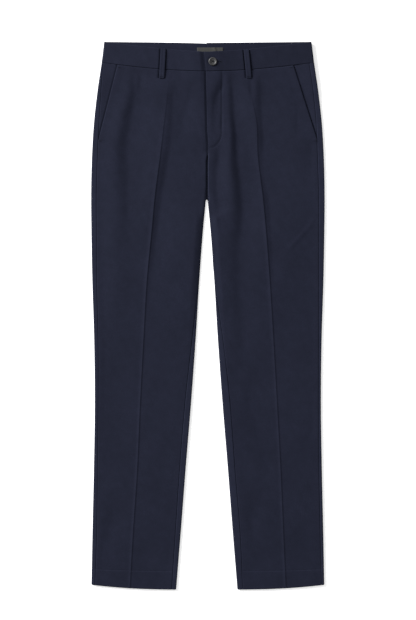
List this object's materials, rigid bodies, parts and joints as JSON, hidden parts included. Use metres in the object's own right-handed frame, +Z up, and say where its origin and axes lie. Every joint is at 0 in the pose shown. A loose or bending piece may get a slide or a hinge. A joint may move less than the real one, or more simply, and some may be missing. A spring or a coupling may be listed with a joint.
{
  "type": "suit trousers laid flat",
  "caption": "Flat-front suit trousers laid flat, front up: creased slim legs, slant pockets, zip fly, button tab and belt loops.",
  "frame": {"origin": "middle of the garment's footprint, on the surface that it lies on", "axes": "+X is the wearer's left, +Y points from the hems to the waist, +Z is up, out of the trousers' front"},
  "size_m": [0.4676, 1.096, 0.0122],
  "materials": {
    "suiting": "fine navy wool suiting, matt with a faint sheen",
    "zip_tape": "dark woven tape",
    "zip_metal": "dull metal",
    "button": "grey, clouded, half gloss",
    "thread": "dark sewing thread",
    "label": "bare grey-olive woven label"
  },
  "bodies": {
    "root": {"front_left": "suiting", "front_right": "suiting", "back_left": "suiting", "back_right": "suiting", "waistband_left": "suiting", "waistband_right": "suiting", "pocket_facing_left": "suiting", "pocket_facing_right": "suiting", "fly_shield": "suiting", "belt_loop_front_left": "suiting", "belt_loop_front_right": "suiting", "belt_loop_back_left": "suiting", "belt_loop_back_centre": "suiting", "belt_loop_back_right": "suiting", "zip": "zip_tape", "zip_slider": "zip_metal", "zip_pull": "zip_metal", "button": "button", "button_thread": "thread", "label": "label"}
  },
  "joints": []
}
